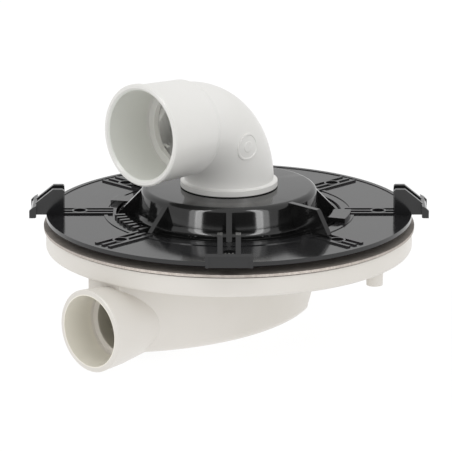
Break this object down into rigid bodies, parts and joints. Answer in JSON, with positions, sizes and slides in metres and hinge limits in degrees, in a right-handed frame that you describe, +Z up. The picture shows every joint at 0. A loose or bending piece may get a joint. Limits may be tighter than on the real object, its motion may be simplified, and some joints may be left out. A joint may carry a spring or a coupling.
{
  "type": "shower tray trap",
  "caption": "Low round shower tray trap with a spiral sump, side outlet socket, steel clamping plate, black cover with rim hooks and gusseted dome, and an inlet elbow.",
  "frame": {"origin": "on the drum's axis, in the plane that the lower lip of the outlet socket rests on", "axes": "+Z up along the drum's axis; the hooks lie on the X and Y axes; the outlet socket and the inlet elbow both point towards -X -Y"},
  "size_m": [0.2264, 0.2264, 0.153],
  "materials": {
    "white_body": "moulded white plastic, slightly warm, satin gloss",
    "white_inner": "moulded white plastic",
    "white_elbow": "moulded white plastic, satin gloss",
    "black_cover": "polished black moulding that mirrors its surroundings",
    "black_cap": "polished black moulding that mirrors its surroundings",
    "steel_sheet": "brushed stainless sheet",
    "grey_rubber": "dull grey-black rubber sheet",
    "black_rubber": "dull black rubber",
    "brass": "turned brass",
    "screw_steel": "bright stainless steel",
    "dark_screws": "blackened steel",
    "grey_nut": "grey moulded plastic",
    "washer_plastic": "natural plastic"
  },
  "bodies": {
    "root": {"trap_body": "white_body", "thread_inserts": "brass", "body_gasket": "grey_rubber", "steel_plate": "steel_sheet", "cover_gasket": "black_rubber", "cover_disc": "black_cover", "cover_screws": "screw_steel", "dome_seal": "black_rubber", "dome_cap": "black_cap", "dome_screws": "dark_screws", "elbow_gasket": "black_rubber", "inlet_elbow": "white_elbow", "elbow_locknut": "grey_nut", "locknut_washer": "washer_plastic", "dip_tube": "white_inner", "dip_tube_seal": "black_rubber", "trap_cup": "white_inner"}
  },
  "joints": []
}
